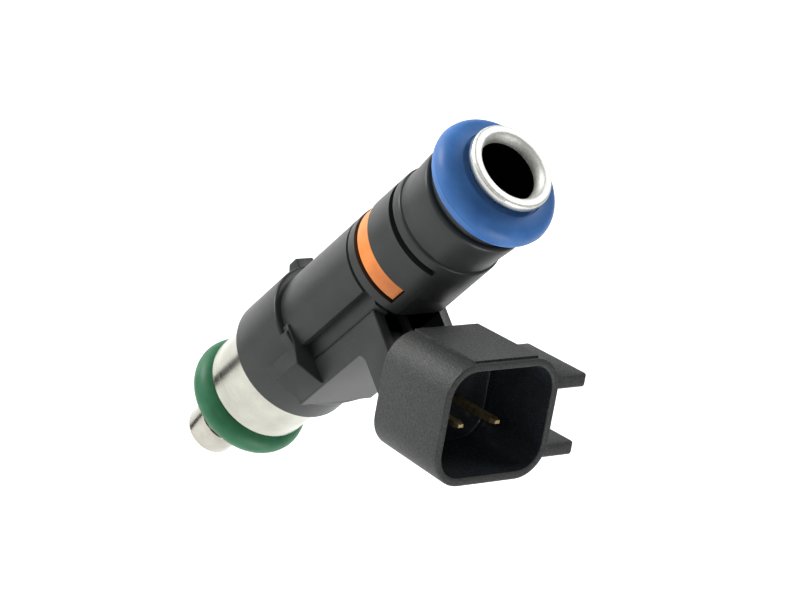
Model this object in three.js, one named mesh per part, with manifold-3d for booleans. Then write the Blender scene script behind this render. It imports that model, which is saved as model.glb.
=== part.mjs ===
// Port fuel injector, millimetres, +Z up.
// Z = 0 is the nozzle face and +Z runs along the injector to the fuel inlet.
// The connector leans out over +X, and the moulding's two side walls face -Y and +Y.

import * as THREE from 'three';
import { mergeVertices } from 'three/addons/utils/BufferGeometryUtils.js';
import Module from 'manifold-3d';

const wasm = await Module();
wasm.setup();

// ---------------------------------------------------------------- driving dimensions

const LENGTH = 61.2; // nozzle face to inlet rim
const PLAY = 0.02; // gap between pieces that touch
const FACETS = 48; // sides of a large turned piece
const FINE_FACETS = 28; // sides of a small turned piece

// fuel tube that runs through the whole injector
const RIM_R = 4.85;
const RIM_HEIGHT = 1.2;
const NECK_R = 3.9;
const NECK_BORE_R = 3.4;
const BARREL_R = 2.85;
const BARREL_BORE_R = 2.5;
const STEP_LOW = 26.4; // the barrel starts to widen here
const STEP_HIGH = 27.8; // and is full width here

// O-rings
const UPPER_SEAL_Z = 57.64;
const UPPER_SEAL_SECTION_R = 1.69;
const LOWER_SEAL_Z = 8.96;
const LOWER_SEAL_SECTION_R = 1.75;
const LOWER_SEAL_BORE_R = 3.6;

// black moulding
const MOULDING_TOP = 55;
const MOULDING_BASE = 18.2;
const COLLAR_R = 6.52;
const BODY_R = 6.56;
const SKIRT_R = 7.38;
const SKIRT_TOP = 26.6;
const SHOULDER_TOP = 27.5;
const LUG_X = 8.48; // outer face of the lug opposite the connector
const LUG_HALF_WIDTH = 1.2;
const LUG_TOP = 26;
const LINE_Z = 40; // fine groove that ends the plain body
const RING_BASE = 41.35;
const RING_TOP = 43.95;
const RING_GROOVE_R = 5.3;
const CLIP_BASE = 48;
const CLIP_TOP = 48.8;
const CLIP_GROOVE_R = 5.4;

// arm between the body and the connector
const WALL_Y = 5; // outside of the side walls
const WALL_X = 2.67; // where the round body gives way to them
const WALL_THICKNESS = 1.2;
const ARM_TOP = 39.1;
const ARM_FLOOR = 37.2;
const ARM_UNDERSIDE = 35.1;
const FLAT_X = 5.83; // flat face under the collars, facing the connector
const RECESS_X = 4.6; // back of the pocket, under that flat

// connector shroud
const TILT = THREE.MathUtils.degToRad(42.9); // above level
const MOUTH = new THREE.Vector3(21.2, 0, 45.35);
const SHROUD_HALF_WIDTH = 7.68;
const SHROUD_HALF_HEIGHT = 6.68;
const SHROUD_CORNER_R = 3.8;
const SHROUD_WALL = 0.85;
const SHROUD_LENGTH = 10.6;
const SOCKET_DEPTH = 9.6;

// terminals
const PIN_PITCH = 5;
const PIN_WIDTH = 1;
const PIN_THICKNESS = 0.6;
const PIN_DROP = 1.2; // below the middle of the socket
const PIN_SETBACK = 2.7; // tip behind the mouth
const RISER_X = 4.9;

// inlet filter
const FILTER_SEAT = 50; // underside of the brass collar
const FILTER_TOP = 52.7;
const FILTER_FOOT = 41; // top of the closed foot
const FILTER_MESH_R = 2.42;

// magnet circuit
const HOUSING_R = 6.33;
const HOUSING_BASE = 10.9;
const HOUSING_TOP = 25;
const HOUSING_WALL = 0.6;
const HOUSING_FLOOR = 1.2;
const WASHER_THICKNESS = 0.7;
const BOBBIN_FLANGE = 0.8;
const BOBBIN_CORE_R = 3.5;

// valve
const AIR_GAP = 0.15;
const POLE_BASE = 19;
const POLE_TOP = 35;
const POLE_BORE_R = 1.5;
const ARMATURE_R = 2.4;
const ARMATURE_BASE = 12.6;
const SPRING_SEAT = 16.5;
const SPRING_TOP = 27;
const NEEDLE_R = 1;
const NEEDLE_BORE_R = 0.65;
const BALL_R = 1.25;
const CAP_LIP = 0.4;
const PLATE_THICKNESS = 0.2;

// heights and radii that follow from the ones above
const PLATE_BASE = CAP_LIP + PLAY;
const SEAT_BASE = PLATE_BASE + PLATE_THICKNESS + PLAY;
const SEAT_ORIFICE_R = 0.6;
const CONE_BASE = SEAT_BASE + 0.35;
const BALL_Z = CONE_BASE - SEAT_ORIFICE_R + BALL_R * Math.SQRT2 + PLAY;
const WASHER_BASE = HOUSING_TOP + PLAY;
const BOBBIN_TOP = HOUSING_TOP - 0.1;

const OUT = new THREE.Vector3(Math.cos(TILT), 0, Math.sin(TILT)); // out of the socket
const ACROSS = new THREE.Vector3(0, 1, 0);
const UPWARD = new THREE.Vector3(-Math.sin(TILT), 0, Math.cos(TILT));

// ---------------------------------------------------------------- shape helpers

// a closed geometry as a solid that can be cut and joined
function toSolid(geometry) {
  const bare = geometry.clone();
  bare.deleteAttribute('normal');
  bare.deleteAttribute('uv');
  const merged = mergeVertices(bare, 1e-4);
  const points = merged.attributes.position.array;
  const source = merged.index.array;
  const corners = [];
  let volume = 0;
  const [a, b, c] = [new THREE.Vector3(), new THREE.Vector3(), new THREE.Vector3()];
  for (let i = 0; i < source.length; i += 3) {
    const [ia, ib, ic] = [source[i], source[i + 1], source[i + 2]];
    if (ia === ib || ib === ic || ic === ia) continue;
    corners.push(ia, ib, ic);
    a.fromArray(points, 3 * ia);
    b.fromArray(points, 3 * ib);
    c.fromArray(points, 3 * ic);
    volume += a.dot(b.cross(c));
  }
  if (volume < 0) corners.reverse();
  const mesh = new wasm.Mesh({
    numProp: 3,
    vertProperties: new Float32Array(points),
    triVerts: new Uint32Array(corners),
  });
  return new wasm.Manifold(mesh);
}

function toGeometry(solid) {
  const mesh = solid.getMesh();
  const geometry = new THREE.BufferGeometry();
  geometry.setAttribute('position', new THREE.BufferAttribute(mesh.vertProperties, 3));
  geometry.setIndex(new THREE.BufferAttribute(mesh.triVerts, 1));
  geometry.computeVertexNormals();
  return geometry;
}

// a closed [radius, height] outline turned about the injector's axis
function turned(outline, facets = FACETS) {
  const points = [...outline, outline[0]].map(([r, z]) => new THREE.Vector2(r, z));
  const geometry = new THREE.LatheGeometry(points, facets);
  geometry.rotateX(Math.PI / 2);
  return toSolid(geometry);
}

function tube(innerR, outerR, low, high, facets = FACETS) {
  return turned([[innerR, low], [outerR, low], [outerR, high], [innerR, high]], facets);
}

function rod(radius, low, high, facets = FACETS) {
  return turned([[0, low], [radius, low], [radius, high], [0, high]], facets);
}

// points of an arc, angles in degrees
function arc(centreR, centreZ, radius, from, to, steps) {
  const points = [];
  for (let i = 0; i <= steps; i++) {
    const angle = THREE.MathUtils.degToRad(from + ((to - from) * i) / steps);
    points.push([centreR + radius * Math.cos(angle), centreZ + radius * Math.sin(angle)]);
  }
  return points;
}

function shapeOf(points) {
  return new THREE.Shape(points.map(([x, y]) => new THREE.Vector2(x, y)));
}

// an outline drawn in X and Y, extruded between two heights
function prism(shape, low, high) {
  const geometry = new THREE.ExtrudeGeometry(shape, {
    depth: high - low, bevelEnabled: false, curveSegments: 24,
  });
  geometry.translate(0, 0, low);
  return toSolid(geometry);
}

// an outline drawn in X and Z, extruded along Y between two planes
function slab(shape, left, right) {
  const geometry = new THREE.ExtrudeGeometry(shape, {
    depth: right - left, bevelEnabled: false, curveSegments: 8,
  });
  geometry.rotateX(Math.PI / 2);
  geometry.translate(0, right, 0);
  return toSolid(geometry);
}

// an outline across the connector, extruded from one distance behind the mouth to another
function acrossConnector(shape, back, front) {
  const geometry = new THREE.ExtrudeGeometry(shape, {
    depth: back - front, bevelEnabled: false, curveSegments: 8,
  });
  return acrossConnectorFrom(geometry, back);
}

// the same for a geometry that is already extruded along its own Z
function acrossConnectorFrom(geometry, back) {
  geometry.translate(0, 0, -back);
  geometry.applyMatrix4(new THREE.Matrix4().makeBasis(ACROSS, UPWARD, OUT).setPosition(MOUTH));
  return toSolid(geometry);
}

function box(low, high) {
  const geometry = new THREE.BoxGeometry(high[0] - low[0], high[1] - low[1], high[2] - low[2]);
  geometry.translate((low[0] + high[0]) / 2, (low[1] + high[1]) / 2, (low[2] + high[2]) / 2);
  return toSolid(geometry);
}

function roundedRectangle(halfWidth, halfHeight, radius) {
  const shape = new THREE.Shape();
  const [w, h] = [halfWidth - radius, halfHeight - radius];
  shape.absarc(w, h, radius, 0, Math.PI / 2);
  shape.absarc(-w, h, radius, Math.PI / 2, Math.PI);
  shape.absarc(-w, -h, radius, Math.PI, 1.5 * Math.PI);
  shape.absarc(w, -h, radius, 1.5 * Math.PI, 2 * Math.PI);
  return shape;
}

// a ring with an opening, centred on +X, of the given half angle in degrees
function openRing(innerR, outerR, low, high, halfOpening) {
  const start = THREE.MathUtils.degToRad(halfOpening);
  const end = 2 * Math.PI - start;
  const shape = new THREE.Shape();
  shape.absarc(0, 0, outerR, start, end, false);
  shape.absarc(0, 0, innerR, end, start, true);
  const geometry = new THREE.ExtrudeGeometry(shape, {
    depth: high - low, bevelEnabled: false, curveSegments: FACETS,
  });
  geometry.translate(0, 0, low);
  return toSolid(geometry);
}

// point in the X-Z plane at a distance behind the mouth and a height above its middle
function connectorPoint(behind, above) {
  const point = MOUTH.clone().addScaledVector(OUT, -behind).addScaledVector(UPWARD, above);
  return [point.x, point.z];
}

// ---------------------------------------------------------------- the assembly

const injector = new THREE.Group();

function addPart(name, solid, color, roughness, metalness) {
  const material = new THREE.MeshStandardMaterial({ color, roughness, metalness });
  const mesh = new THREE.Mesh(toGeometry(solid), material);
  mesh.name = name;
  injector.add(mesh);
}

// ---------------------------------------------------------------- fuel tube

// one deep-drawn tube with a rolled, flared rim at the inlet
function valveSleeve() {
  const rimBase = LENGTH - RIM_HEIGHT;
  const edge = 0.35;
  const funnelR = 4.05;
  const [throatR, throatDepth] = [3.7, 0.35];
  const funnelDepth = 1.1;
  const boreLag = 0.2; // the bore widens a little above the outside
  return turned([
    [BARREL_BORE_R, PLATE_BASE],
    [BARREL_R, PLATE_BASE],
    [BARREL_R, STEP_LOW],
    [NECK_R, STEP_HIGH],
    [NECK_R, rimBase],
    ...arc(RIM_R - edge, rimBase + edge, edge, -90, 0, 3),
    ...arc(RIM_R - edge, LENGTH - edge, edge, 0, 90, 4),
    [funnelR, LENGTH],
    [throatR, LENGTH - throatDepth],
    [NECK_BORE_R, LENGTH - funnelDepth],
    [NECK_BORE_R, STEP_HIGH + boreLag],
    [BARREL_BORE_R, STEP_LOW + boreLag],
  ]);
}

function poleCore() {
  const outerR = NECK_BORE_R - PLAY;
  const lowerR = BARREL_BORE_R - PLAY;
  const chamfer = 0.4;
  const stepLag = 0.3; // the pole widens above the tube's own step
  return turned([
    [POLE_BORE_R, POLE_BASE],
    [lowerR, POLE_BASE],
    [lowerR, STEP_LOW + stepLag],
    [outerR, STEP_HIGH + stepLag],
    [outerR, POLE_TOP - chamfer],
    [outerR - chamfer, POLE_TOP],
    [POLE_BORE_R, POLE_TOP],
  ], FINE_FACETS);
}

// a slit sleeve, pressed into the pole until the spring has its set force
function adjustingTube() {
  const outerR = POLE_BORE_R - PLAY;
  const boreR = 1;
  const halfSlit = 0.15;
  const belowPole = 0.5;
  const sleeve = tube(boreR, outerR, SPRING_TOP, POLE_TOP - belowPole, FINE_FACETS);
  const slit = box([boreR / 2, -halfSlit, SPRING_TOP - 1], [outerR + 1, halfSlit, POLE_TOP]);
  return sleeve.subtract(slit);
}

function returnSpring() {
  const wireR = 0.2;
  const coilR = 1.15;
  const turns = 7;
  const stepsPerTurn = 12;
  const low = SPRING_SEAT + wireR + PLAY;
  const high = SPRING_TOP - wireR - PLAY;
  class Helix extends THREE.Curve {
    getPoint(t, target = new THREE.Vector3()) {
      const angle = 2 * Math.PI * turns * t;
      return target.set(coilR * Math.cos(angle), coilR * Math.sin(angle), low + (high - low) * t);
    }
  }
  const wire = new THREE.Shape();
  wire.absarc(0, 0, wireR, 0, 2 * Math.PI);
  return toSolid(new THREE.ExtrudeGeometry(wire, {
    steps: turns * stepsPerTurn, curveSegments: 3, bevelEnabled: false, extrudePath: new Helix(),
  }));
}

addPart('valve_sleeve', valveSleeve(), 0xe6e4de, 0.28, 1);
addPart('pole_core', poleCore(), 0x9a9a98, 0.35, 1);
addPart('adjusting_tube', adjustingTube(), 0xb8b6b0, 0.3, 1);
addPart('return_spring', returnSpring(), 0xc4c4c2, 0.25, 1);

// ---------------------------------------------------------------- moving valve

// plunger with a spring pocket above and the needle's bore below
function armature() {
  const top = POLE_BASE - AIR_GAP;
  const chamfer = 0.2;
  const pocketR = 1.45;
  return turned([
    [NEEDLE_R + PLAY, ARMATURE_BASE],
    [ARMATURE_R - chamfer, ARMATURE_BASE],
    [ARMATURE_R, ARMATURE_BASE + chamfer],
    [ARMATURE_R, top - chamfer],
    [ARMATURE_R - chamfer, top],
    [pocketR, top],
    [pocketR, SPRING_SEAT],
    [NEEDLE_R + PLAY, SPRING_SEAT],
  ], FINE_FACETS);
}

// hollow needle with two cross holes that let the fuel out above the seat
function needleTube() {
  const low = BALL_Z + Math.sqrt(BALL_R ** 2 - NEEDLE_BORE_R ** 2) + PLAY;
  const holeR = 0.3;
  const [lowerHoleZ, upperHoleZ] = [6, 8];
  const stem = tube(NEEDLE_BORE_R, NEEDLE_R, low, SPRING_SEAT - PLAY, FINE_FACETS);
  const hole = new THREE.CylinderGeometry(holeR, holeR, 4 * NEEDLE_R, 12);
  const alongY = toSolid(hole.clone().translate(0, 0, lowerHoleZ));
  const alongX = toSolid(hole.clone().rotateZ(Math.PI / 2).translate(0, 0, upperHoleZ));
  return stem.subtract(alongY).subtract(alongX);
}

// ball with five flats that leave a way past it for the fuel
function valveBall() {
  const flats = 5;
  const flatR = 1.1;
  const flatHeight = 1.1;
  const flatRise = 0.35; // from the ball's middle to the flats' middle
  const cutterDepth = 1;
  const sphere = new THREE.SphereGeometry(BALL_R, 20, 14).rotateX(Math.PI / 2);
  let ball = toSolid(sphere.translate(0, 0, BALL_Z));
  for (let i = 0; i < flats; i++) {
    const cutter = new THREE.BoxGeometry(cutterDepth, 2 * BALL_R, flatHeight);
    cutter.translate(flatR + cutterDepth / 2, 0, BALL_Z + flatRise);
    cutter.rotateZ((2 * Math.PI * i) / flats);
    ball = ball.subtract(toSolid(cutter));
  }
  return ball;
}

addPart('armature', armature(), 0x8c8c8a, 0.4, 1);
addPart('needle_tube', needleTube(), 0xc8c6c0, 0.25, 1);
addPart('valve_ball', valveBall(), 0xdcdcda, 0.12, 1);

// ---------------------------------------------------------------- nozzle end

function seatBody() {
  const guideR = BALL_R + 0.05;
  const top = 4.6;
  const leadIn = 0.3;
  return turned([
    [SEAT_ORIFICE_R, SEAT_BASE],
    [BARREL_BORE_R - PLAY, SEAT_BASE],
    [BARREL_BORE_R - PLAY, top],
    [guideR + leadIn, top],
    [guideR, top - leadIn],
    [guideR, CONE_BASE + guideR - SEAT_ORIFICE_R],
    [SEAT_ORIFICE_R, CONE_BASE],
  ], FINE_FACETS);
}

function sprayPlate() {
  const holes = 4;
  const holeR = 0.11;
  const pitchR = 0.36;
  let plate = rod(BARREL_BORE_R - PLAY, PLATE_BASE, PLATE_BASE + PLATE_THICKNESS, FINE_FACETS);
  for (let i = 0; i < holes; i++) {
    const angle = (2 * Math.PI * (i + 0.5)) / holes;
    const drill = new THREE.CylinderGeometry(holeR, holeR, 2, 12).rotateX(Math.PI / 2);
    drill.translate(pitchR * Math.cos(angle), pitchR * Math.sin(angle), PLATE_BASE);
    plate = plate.subtract(toSolid(drill));
  }
  return plate;
}

// short outer sleeve over the end of the tube, turned in under the spray plate
function nozzleCap() {
  const boreR = BARREL_R + PLAY;
  const outerR = 3.02;
  const mouthR = 1.6;
  const chamfer = 0.3;
  const top = 3.4;
  return turned([
    [mouthR, 0],
    [outerR - chamfer, 0],
    [outerR, chamfer],
    [outerR, top],
    [boreR, top],
    [boreR, CAP_LIP],
    [mouthR, CAP_LIP],
  ]);
}

addPart('seat_body', seatBody(), 0xb4b2ac, 0.3, 1);
addPart('spray_plate', sprayPlate(), 0xcac8c2, 0.25, 1);
addPart('nozzle_cap', nozzleCap(), 0xe2e0da, 0.25, 1);

// ---------------------------------------------------------------- seals

function oRing(boreR, sectionR, z) {
  const steps = 12;
  const outline = arc(boreR + sectionR, z, sectionR, 0, 360 - 360 / steps, steps - 1);
  return turned(outline);
}

// the rail seal fills the neck between the moulding and the rim: round outside, full inside
function railSeal() {
  const boreR = NECK_R + PLAY;
  const centreR = boreR + UPPER_SEAL_SECTION_R;
  const base = UPPER_SEAL_Z - UPPER_SEAL_SECTION_R;
  const belowRim = 0.2;
  const top = LENGTH - RIM_HEIGHT - belowRim;
  const roundTo = 68; // degrees above level, where the round outside ends
  const [insideRim, edgeDrop] = [0.1, 0.05];
  return turned([
    [boreR, base],
    ...arc(centreR, UPPER_SEAL_Z, UPPER_SEAL_SECTION_R, -90, roundTo, 8),
    [RIM_R - insideRim, top - edgeDrop],
    [boreR, top],
  ]);
}

// moulded ring on the barrel that keeps the lower O-ring in place
function sealRetainer() {
  const boreR = BARREL_R + PLAY;
  const base = 5.6;
  const flangeR = 4.7;
  const chamfer = 0.4;
  const underSeal = 0.1;
  const flangeTop = LOWER_SEAL_Z - LOWER_SEAL_SECTION_R - underSeal;
  return turned([
    [boreR, base],
    [flangeR - chamfer, base],
    [flangeR, base + chamfer],
    [flangeR, flangeTop],
    [LOWER_SEAL_BORE_R - PLAY, flangeTop],
    [LOWER_SEAL_BORE_R - PLAY, HOUSING_BASE - PLAY],
    [boreR, HOUSING_BASE - PLAY],
  ]);
}

function sealBackupRing() {
  const outerR = 5.9;
  const top = UPPER_SEAL_Z - UPPER_SEAL_SECTION_R - PLAY;
  return tube(NECK_R + PLAY, outerR, MOULDING_TOP + PLAY, top);
}

addPart('upper_o_ring', railSeal(), 0x4a75b5, 0.42, 0);
addPart('lower_o_ring', oRing(LOWER_SEAL_BORE_R, LOWER_SEAL_SECTION_R, LOWER_SEAL_Z), 0x35704f, 0.4, 0);
addPart('seal_backup_ring', sealBackupRing(), 0x242526, 0.55, 0);
addPart('seal_retainer', sealRetainer(), 0x6a5c4c, 0.55, 0);

// ---------------------------------------------------------------- inlet filter

function filterCollar() {
  const boreR = 2.7;
  const outerR = NECK_BORE_R - PLAY;
  const chamfer = 0.3;
  return turned([
    [boreR, FILTER_SEAT],
    [outerR, FILTER_SEAT],
    [outerR, FILTER_TOP - chamfer],
    [outerR - chamfer, FILTER_TOP],
    [boreR, FILTER_TOP],
  ], FINE_FACETS);
}

// plastic cage: a ring under the brass collar, three ribs and a closed foot
function filterCage() {
  const ribs = 3;
  const [ribThickness, ribWidth, ribR] = [0.45, 0.6, 2.7];
  const [ribInFoot, ribInRing] = [0.3, 0.2];
  const [ringR, ringHeight, meshGap] = [3.1, 1.2, 0.03];
  const [footR, footHeight] = [2.6, 1];
  const ringBase = FILTER_SEAT - ringHeight;
  const [ribLow, ribHigh] = [FILTER_FOOT - ribInFoot, ringBase + ribInRing];
  const ring = tube(FILTER_MESH_R + meshGap, ringR, ringBase, FILTER_SEAT - PLAY, FINE_FACETS);
  let cage = ring.add(rod(footR, FILTER_FOOT - footHeight, FILTER_FOOT, FINE_FACETS));
  for (let i = 0; i < ribs; i++) {
    const rib = new THREE.BoxGeometry(ribThickness, ribWidth, ribHigh - ribLow);
    rib.translate(ribR, 0, (ribLow + ribHigh) / 2);
    cage = cage.add(toSolid(rib.rotateZ((2 * Math.PI * i) / ribs)));
  }
  return cage;
}

function filterMesh() {
  const thickness = 0.12;
  const belowCollar = 0.4;
  const top = FILTER_SEAT - belowCollar;
  return tube(FILTER_MESH_R - thickness, FILTER_MESH_R, FILTER_FOOT + PLAY, top, FINE_FACETS);
}

addPart('inlet_filter_collar', filterCollar(), 0xb89a54, 0.35, 1);
addPart('inlet_filter_cage', filterCage(), 0xd8d4c4, 0.6, 0);
addPart('inlet_filter_mesh', filterMesh(), 0xb0ac9c, 0.7, 0);

// ---------------------------------------------------------------- magnet circuit

// drawn steel cup: the bright band between the moulding and the lower O-ring
function magnetHousing() {
  const edge = 0.35;
  return turned([
    [BARREL_R + PLAY, HOUSING_BASE],
    ...arc(HOUSING_R - edge, HOUSING_BASE + edge, edge, -90, 0, 4),
    [HOUSING_R, HOUSING_TOP],
    [HOUSING_R - HOUSING_WALL, HOUSING_TOP],
    [HOUSING_R - HOUSING_WALL, HOUSING_BASE + HOUSING_FLOOR],
    [BARREL_R + PLAY, HOUSING_BASE + HOUSING_FLOOR],
  ]);
}

// closes the cup over the coil; one side is open for the terminals
function magnetWasher() {
  const washer = tube(BARREL_R + PLAY, HOUSING_R - 0.05, WASHER_BASE, WASHER_BASE + WASHER_THICKNESS);
  const [windowX, windowY] = [4.2, 3.4];
  const low = [windowX, -windowY, WASHER_BASE - 1];
  return washer.subtract(box(low, [HOUSING_R + 1, windowY, WASHER_BASE + 2]));
}

function coilBobbin() {
  const base = HOUSING_BASE + HOUSING_FLOOR + PLAY;
  const flange = BOBBIN_FLANGE;
  const flangeR = HOUSING_R - HOUSING_WALL - 0.1;
  return turned([
    [BARREL_R + PLAY, base],
    [flangeR, base],
    [flangeR, base + flange],
    [BOBBIN_CORE_R, base + flange],
    [BOBBIN_CORE_R, BOBBIN_TOP - flange],
    [flangeR, BOBBIN_TOP - flange],
    [flangeR, BOBBIN_TOP],
    [BARREL_R + PLAY, BOBBIN_TOP],
  ], FINE_FACETS);
}

// enamelled wire, drawn as its outer shape with the rows of the top layer
function coilWinding() {
  const rows = 8;
  const innerR = BOBBIN_CORE_R + PLAY;
  const outerR = 5.3;
  const dip = 0.12;
  const low = HOUSING_BASE + HOUSING_FLOOR + BOBBIN_FLANGE + 2 * PLAY;
  const high = BOBBIN_TOP - BOBBIN_FLANGE - 2 * PLAY;
  const pitch = (high - low) / rows;
  const outline = [[innerR, low]];
  for (let i = 0; i < rows; i++) {
    outline.push([outerR - dip, low + pitch * i]);
    outline.push([outerR, low + pitch * (i + 0.5)]);
  }
  outline.push([outerR - dip, high]);
  outline.push([innerR, high]);
  return turned(outline, FINE_FACETS);
}

addPart('magnet_housing', magnetHousing(), 0xd8d5cc, 0.24, 1);
addPart('magnet_washer', magnetWasher(), 0xa8a6a0, 0.35, 1);
addPart('coil_bobbin', coilBobbin(), 0xa8a49a, 0.6, 0);
addPart('coil_winding', coilWinding(), 0xa0522d, 0.35, 0.8);

// ---------------------------------------------------------------- terminals

// side view of a terminal: up from the coil, level through the arm, out into the socket
function terminalOutline(grow, tipBehind) {
  const half = PIN_THICKNESS / 2 + grow;
  const belowMiddle = 0.05;
  const levelZ = (ARM_FLOOR + ARM_UNDERSIDE) / 2 - belowMiddle;
  const foot = BOBBIN_TOP + PLAY - grow;
  // the blade's centre line meets the level run here
  const start = connectorPoint(0, -PIN_DROP);
  const bendX = start[0] - (start[1] - levelZ) / Math.tan(TILT);
  const bevel = half * Math.tan(TILT / 2);
  const [tipX, tipZ] = connectorPoint(tipBehind, -PIN_DROP);
  const [sideX, sideZ] = [half * UPWARD.x, half * UPWARD.z];
  return shapeOf([
    [RISER_X - half, foot],
    [RISER_X + half, foot],
    [RISER_X + half, levelZ - half],
    [bendX + bevel, levelZ - half],
    [tipX - sideX, tipZ - sideZ],
    [tipX + sideX, tipZ + sideZ],
    [bendX - bevel, levelZ + half],
    [RISER_X - half, levelZ + half],
  ]);
}

function terminal(side) {
  const y = (side * PIN_PITCH) / 2;
  const strip = slab(terminalOutline(0, PIN_SETBACK), y - PIN_WIDTH / 2, y + PIN_WIDTH / 2);
  // taper the tip with four small wedges
  const wedge = 0.25;
  const flatter = 0.7; // the thin way is tapered less
  const run = 0.7;
  const [overrun, cutterWidth] = [0.3, 3];
  let blade = strip;
  for (const [edge, vertical] of [[1, false], [-1, false], [1, true], [-1, true]]) {
    const half = vertical ? PIN_THICKNESS / 2 : PIN_WIDTH / 2;
    const depth = vertical ? wedge * flatter : wedge;
    const outside = edge * (half + 0.01);
    const far = run + overrun;
    const outline = [[0, outside], [far, outside], [far, edge * (half - depth)]];
    const cutter = new THREE.ExtrudeGeometry(shapeOf(outline), {
      depth: cutterWidth, bevelEnabled: false,
    });
    cutter.translate(0, 0, -cutterWidth / 2);
    const tip = MOUTH.clone().addScaledVector(OUT, -PIN_SETBACK - run).addScaledVector(UPWARD, -PIN_DROP);
    tip.y = y;
    const basis = vertical
      ? new THREE.Matrix4().makeBasis(OUT, UPWARD, OUT.clone().cross(UPWARD))
      : new THREE.Matrix4().makeBasis(OUT, ACROSS, OUT.clone().cross(ACROSS));
    cutter.applyMatrix4(basis.setPosition(tip));
    blade = blade.subtract(toSolid(cutter));
  }
  return blade;
}

addPart('terminal_left', terminal(-1), 0xb09a70, 0.3, 1);
addPart('terminal_right', terminal(1), 0xb09a70, 0.3, 1);

// ---------------------------------------------------------------- black moulding

// everything on the moulding that is round about the injector's axis
function turnedBody() {
  const footEdge = 0.25;
  const rimEdge = 0.3;
  const topEdge = 0.4;
  const lineDepth = 0.3;
  const [lineHalf, lineFloorHalf] = [0.2, 0.1];
  const waistR = 6.27; // between the clip flange and the top collar
  const [flangeTop, waistLow, waistHigh] = [49.9, 50.6, 51.4];
  const [topR, topLow] = [6.45, 54];
  return turned([
    [0, MOULDING_BASE],
    ...arc(SKIRT_R - footEdge, MOULDING_BASE + footEdge, footEdge, -90, 0, 3),
    ...arc(SKIRT_R - rimEdge, SKIRT_TOP - rimEdge, rimEdge, 0, 90, 3),
    [BODY_R, SKIRT_TOP],
    [BODY_R, LINE_Z - lineHalf],
    [BODY_R - lineDepth, LINE_Z - lineFloorHalf],
    [BODY_R - lineDepth, LINE_Z + lineFloorHalf],
    [BODY_R, LINE_Z + lineHalf],
    [COLLAR_R, flangeTop],
    [waistR, waistLow],
    [waistR, waistHigh],
    [topR, topLow],
    ...arc(topR - topEdge, MOULDING_TOP - topEdge, topEdge, 0, 90, 4),
    [0, MOULDING_TOP],
  ]);
}

// shoulder at the foot of the arm: square in front with its corners cut off, flat on top
function shoulder() {
  const low = 21.6;
  const [flareR, flareTop] = [9.2, 23.6];
  const halfPlan = [[7.5, 4.6], [7.25, 5.25], [4.65, 7.45], [2.4, 6.9], [0, 6.9]];
  const mirrored = [...halfPlan].reverse().map(([x, y]) => [x, -y]);
  const block = prism(shapeOf([...mirrored, ...halfPlan]), low, SHOULDER_TOP);
  const flare = turned([
    [0, low],
    [SKIRT_R, low],
    [flareR, flareTop],
    [flareR, SHOULDER_TOP],
    [0, SHOULDER_TOP],
  ]);
  // beside the shoulder the rim of the skirt steps up on both sides
  const [stepInnerR, stepHalfOpening, stepX] = [4, 68, 0.7];
  const [stepSink, stepDrop, reach] = [0.5, 0.1, 9];
  const [stepLow, stepHigh] = [SKIRT_TOP - stepSink, SHOULDER_TOP - stepDrop];
  const step = openRing(stepInnerR, SKIRT_R - PLAY, stepLow, stepHigh, stepHalfOpening);
  const front = box([stepX, -reach, SKIRT_TOP - 1], [reach, reach, SHOULDER_TOP]);
  return block.intersect(flare).add(step.intersect(front));
}

// small lug on the skirt, opposite the connector; its underside slopes in to the skirt
function skirtLug() {
  const height = 1.4;
  const rootX = 7;
  const slope = 0.78;
  const outerLow = LUG_TOP - height;
  const side = shapeOf([
    [-LUG_X, outerLow],
    [-rootX, outerLow - slope * (LUG_X - rootX)],
    [-rootX, LUG_TOP],
    [-LUG_X, LUG_TOP],
  ]);
  return slab(side, -LUG_HALF_WIDTH, LUG_HALF_WIDTH);
}

// side walls with the open pocket between them, and the rib in its middle
function arm() {
  const filletR = 1.2;
  const [frontLow, frontHigh] = [7.45, 7.65];
  const [footZ, frontZ, footSetback] = [22.5, 24, 0.4]; // the front leans back at its foot
  const intoShell = 0.4;
  const endDrop = 0.1;
  const [endLow, endHigh] = [-4, 1.8]; // where the arm enters the shell, from its middle
  const low = connectorPoint(SHROUD_LENGTH - intoShell, endLow);
  const high = connectorPoint(SHROUD_LENGTH - intoShell, endHigh);
  const side = shapeOf([
    [0, footZ],
    [frontLow - footSetback, footZ],
    [frontLow, frontZ],
    ...arc(frontHigh + filletR, ARM_UNDERSIDE - filletR, filletR, 180, 90, 5),
    [low[0], ARM_UNDERSIDE - endDrop],
    low,
    high,
    [high[0], ARM_TOP],
    [0, ARM_TOP],
  ]);
  const pocketHalf = WALL_Y - WALL_THICKNESS;
  const beyond = 20; // past the end of the arm
  const pocket = box([RECESS_X, -pocketHalf, ARM_FLOOR], [beyond, pocketHalf, ARM_TOP + 1]);
  const [ribHalf, ribRise, ribEnd] = [0.35, 0.8, 12];
  const [ribSinkX, ribSinkZ] = [0.2, 0.3];
  const rib = box(
    [RECESS_X - ribSinkX, -ribHalf, ARM_FLOOR - ribSinkZ],
    [ribEnd, ribHalf, ARM_FLOOR + ribRise],
  );
  return slab(side, -WALL_Y, WALL_Y).subtract(pocket).add(rib);
}

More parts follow.
